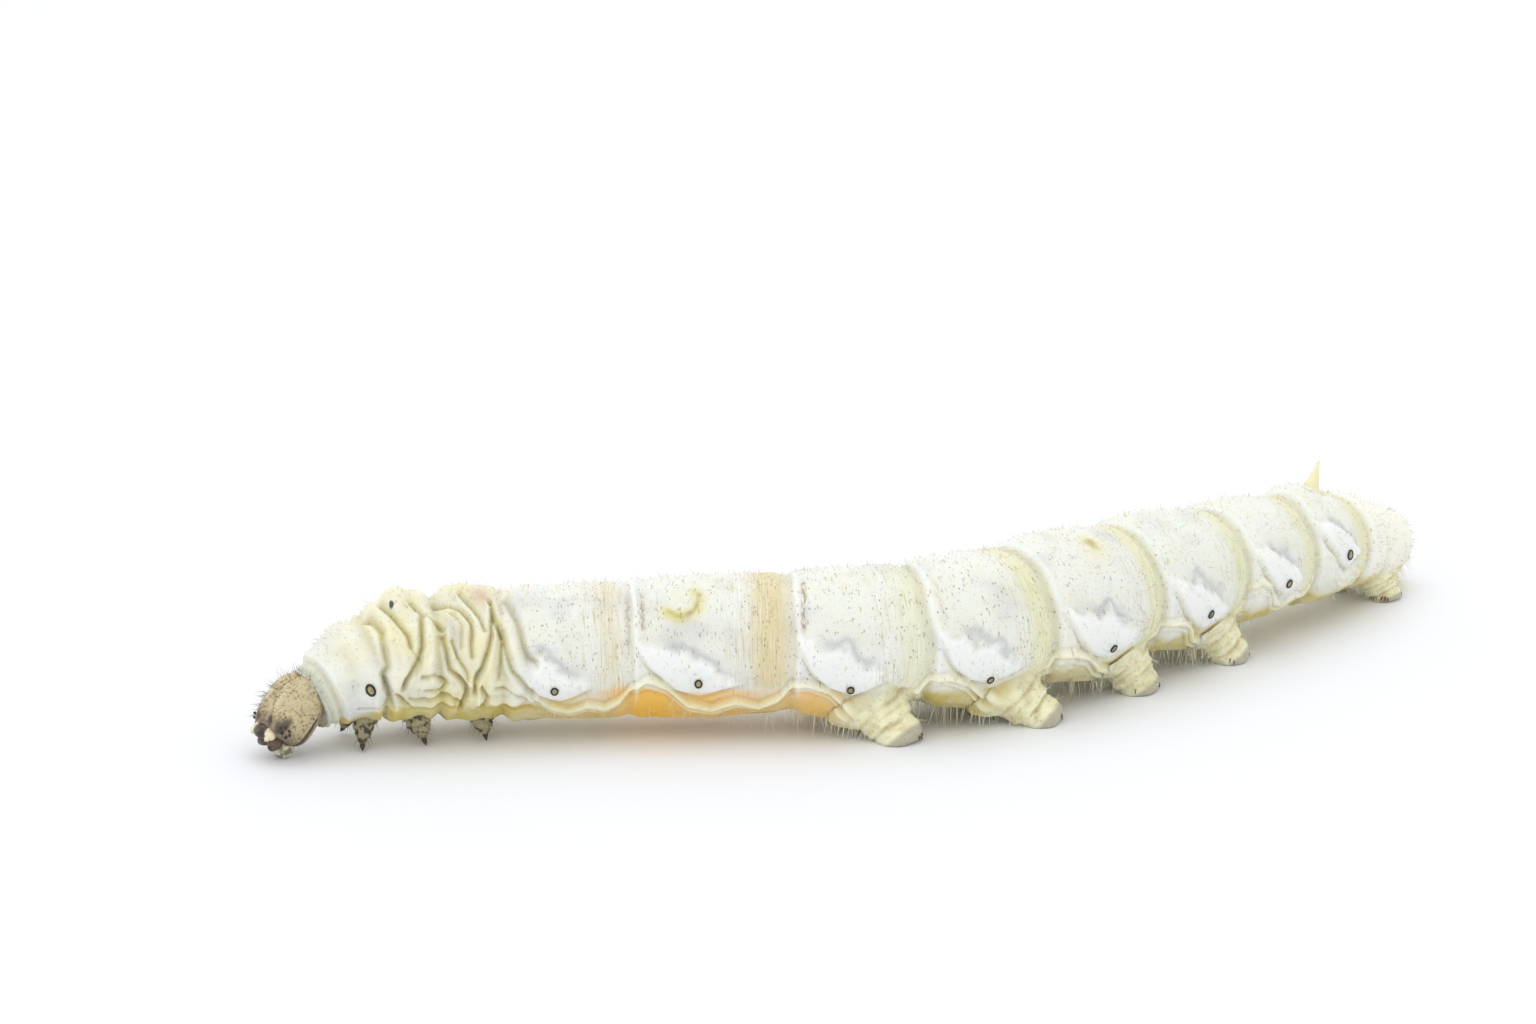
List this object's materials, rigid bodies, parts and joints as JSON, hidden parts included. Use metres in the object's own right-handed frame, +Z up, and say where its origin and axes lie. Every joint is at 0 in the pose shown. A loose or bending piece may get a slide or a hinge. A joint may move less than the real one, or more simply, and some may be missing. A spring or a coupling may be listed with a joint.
{
  "type": "silkworm",
  "caption": "Life-size museum model of a mature silkworm, walking, with its head lowered and its tail turned to one side.",
  "frame": {"origin": "on the floor that the feet rest on, under the middle of the animal's box", "axes": "+Z up; the head points towards -X and the tail towards +X; the animal's left flank faces -Y"},
  "size_m": [0.062, 0.0326, 0.0087],
  "materials": {
    "skin": "soft white skin with a faint wax bloom",
    "head_shell": "tan horny shell mottled with brown",
    "mouth_shell": "dark brown horny plate",
    "antenna": "pale cream, softly shiny",
    "eye": "glossy black lenses",
    "leg_shell": "olive brown horny shell with dark patches",
    "proleg_skin": "pale yellow wrinkled skin",
    "horn_skin": "soft straw-yellow skin"
  },
  "bodies": {
    "root": {"prothorax": "skin", "mesothorax": "skin", "metathorax": "skin", "abdomen_1": "skin", "abdomen_2": "skin", "abdomen_3": "skin", "abdomen_4": "skin", "abdomen_5": "skin", "abdomen_6": "skin", "abdomen_7": "skin", "abdomen_8": "skin", "abdomen_9": "skin", "abdomen_10": "skin", "tail_horn": "horn_skin", "leg_front_left": "leg_shell", "leg_front_right": "leg_shell", "leg_middle_left": "leg_shell", "leg_middle_right": "leg_shell", "leg_hind_left": "leg_shell", "leg_hind_right": "leg_shell", "proleg_3_left": "proleg_skin", "proleg_3_right": "proleg_skin", "proleg_4_left": "proleg_skin", "proleg_4_right": "proleg_skin", "proleg_5_left": "proleg_skin", "proleg_5_right": "proleg_skin", "proleg_6_left": "proleg_skin", "proleg_6_right": "proleg_skin", "clasper_left": "proleg_skin", "clasper_right": "proleg_skin", "neck": "skin", "head_shell": "head_shell", "antenna_left": "antenna", "eyes_left": "eye", "antenna_right": "antenna", "eyes_right": "eye", "labrum": "mouth_shell", "mandible_left": "mouth_shell", "mandible_right": "mouth_shell", "lower_lip": "mouth_shell"}
  },
  "joints": []
}
